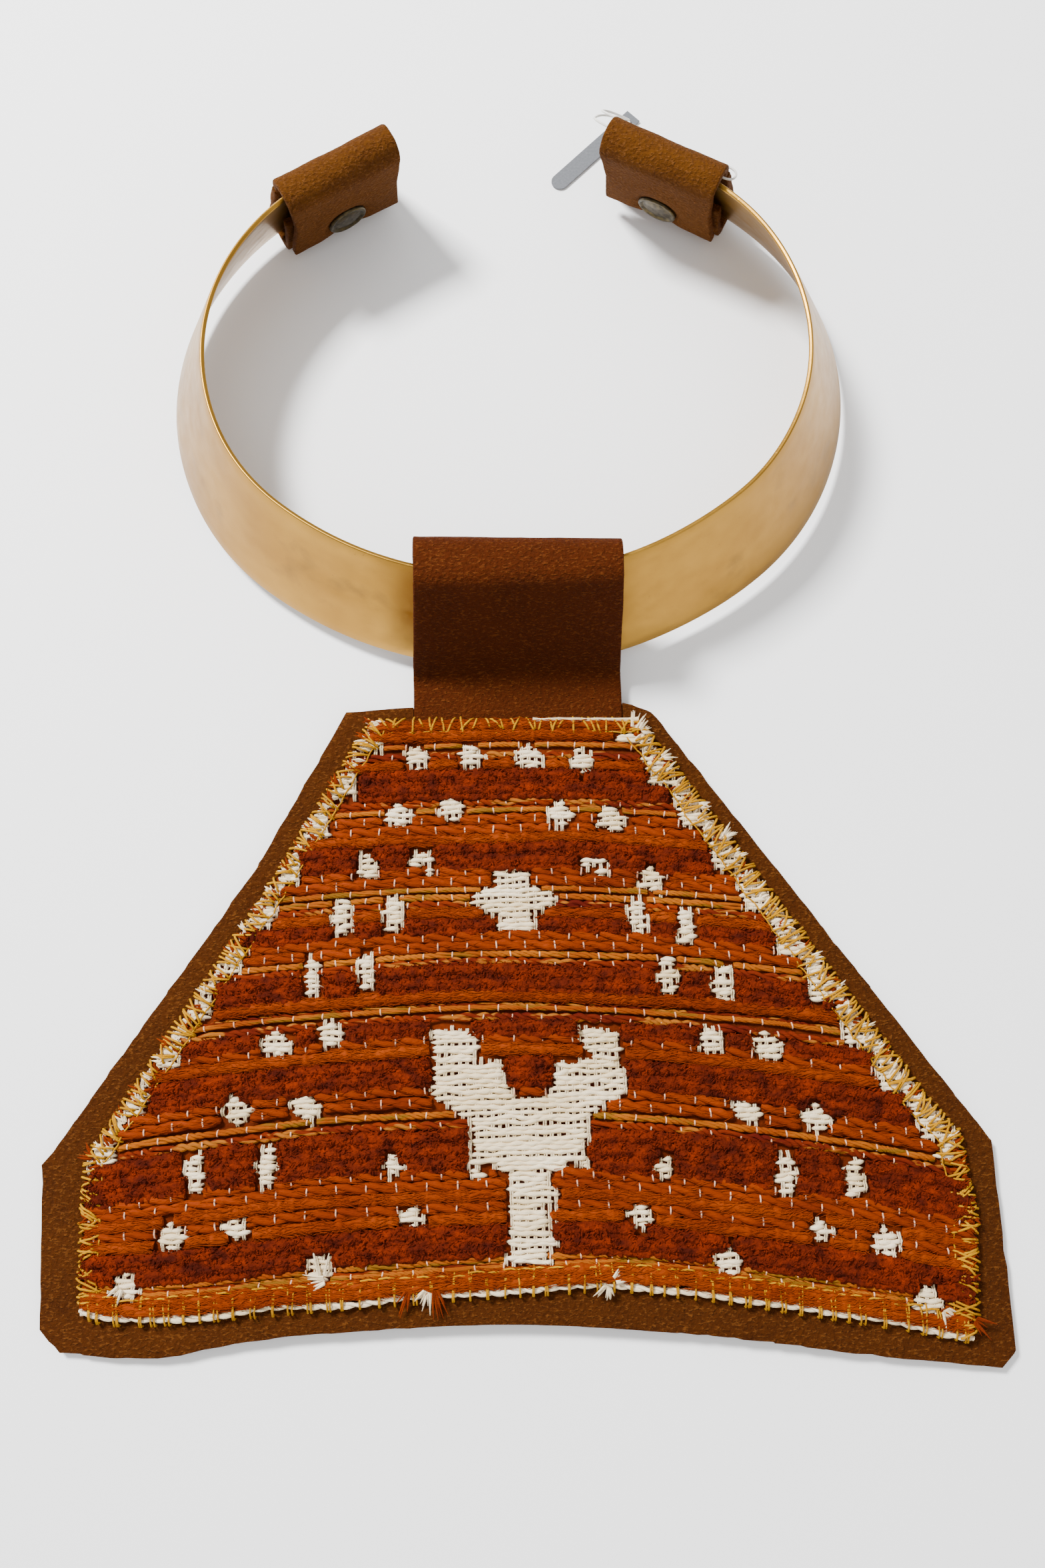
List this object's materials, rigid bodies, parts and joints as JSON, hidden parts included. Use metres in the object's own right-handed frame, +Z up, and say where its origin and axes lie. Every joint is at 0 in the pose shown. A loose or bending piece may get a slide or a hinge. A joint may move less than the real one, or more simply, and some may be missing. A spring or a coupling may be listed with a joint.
{
  "type": "collar necklace",
  "caption": "Open flared brass collar with snapped suede end sleeves and a suede hanger that carries a woven textile pendant with an overlocked edge.",
  "frame": {"origin": "centre of the collar's neck opening, in the plane that the necklace lies on", "axes": "+Z up out of that plane, -Y along the pendant, +Y towards the open back of the collar, +X to the right of the pendant"},
  "size_m": [0.1865, 0.28, 0.0302],
  "materials": {
    "brass_band": "satin",
    "tan_suede": "napped",
    "hanger_suede": "napped",
    "backing_suede": "napped",
    "snap_brass": "antiqued",
    "woven_panel": "hand woven",
    "overlock_yarn": "matte",
    "cream_cord": "matte",
    "tag_paper": "matte",
    "white_thread": "matte"
  },
  "bodies": {
    "collar": {"collar_band": "brass_band", "left_sleeve_wrap": "tan_suede", "right_sleeve_wrap": "tan_suede", "left_snap_stud": "snap_brass", "right_snap_stud": "snap_brass", "left_snap_post": "snap_brass", "right_snap_post": "snap_brass", "tag_thread": "white_thread", "price_tag": "tag_paper"},
    "left_flap": {"left_sleeve_flap": "tan_suede", "left_snap_cap": "snap_brass", "left_snap_socket": "snap_brass"},
    "right_flap": {"right_sleeve_flap": "tan_suede", "right_snap_cap": "snap_brass", "right_snap_socket": "snap_brass"},
    "hanger": {"hanger_loop": "hanger_suede"},
    "pendant": {"pendant_backing": "backing_suede", "hanger_tail": "hanger_suede", "textile_panel": "woven_panel", "overlock_edging": "overlock_yarn", "edge_cord": "cream_cord"}
  },
  "joints": [
    {"name": "left_flap_hinge", "type": "hinge", "parent": "collar", "child": "left_flap", "pos_m": [-0.03288, 0.03831, 0.02434], "axis": [-0.8746, -0.4848, 0], "range_deg": [0, 120]},
    {"name": "right_flap_hinge", "type": "hinge", "parent": "collar", "child": "right_flap", "pos_m": [0.03288, 0.03831, 0.02434], "axis": [-0.8746, 0.4848, 0], "range_deg": [0, 120]},
    {"name": "hanger_slide", "type": "hinge", "parent": "collar", "child": "hanger", "pos_m": [0, 0.021, 0.015], "axis": [0, 0, 1], "range_deg": [-20, 20]},
    {"name": "pendant_fold", "type": "hinge", "parent": "hanger", "child": "pendant", "pos_m": [0, -0.06898, 0.0019], "axis": [1, 0, 0], "range_deg": [-30, 100]}
  ]
}
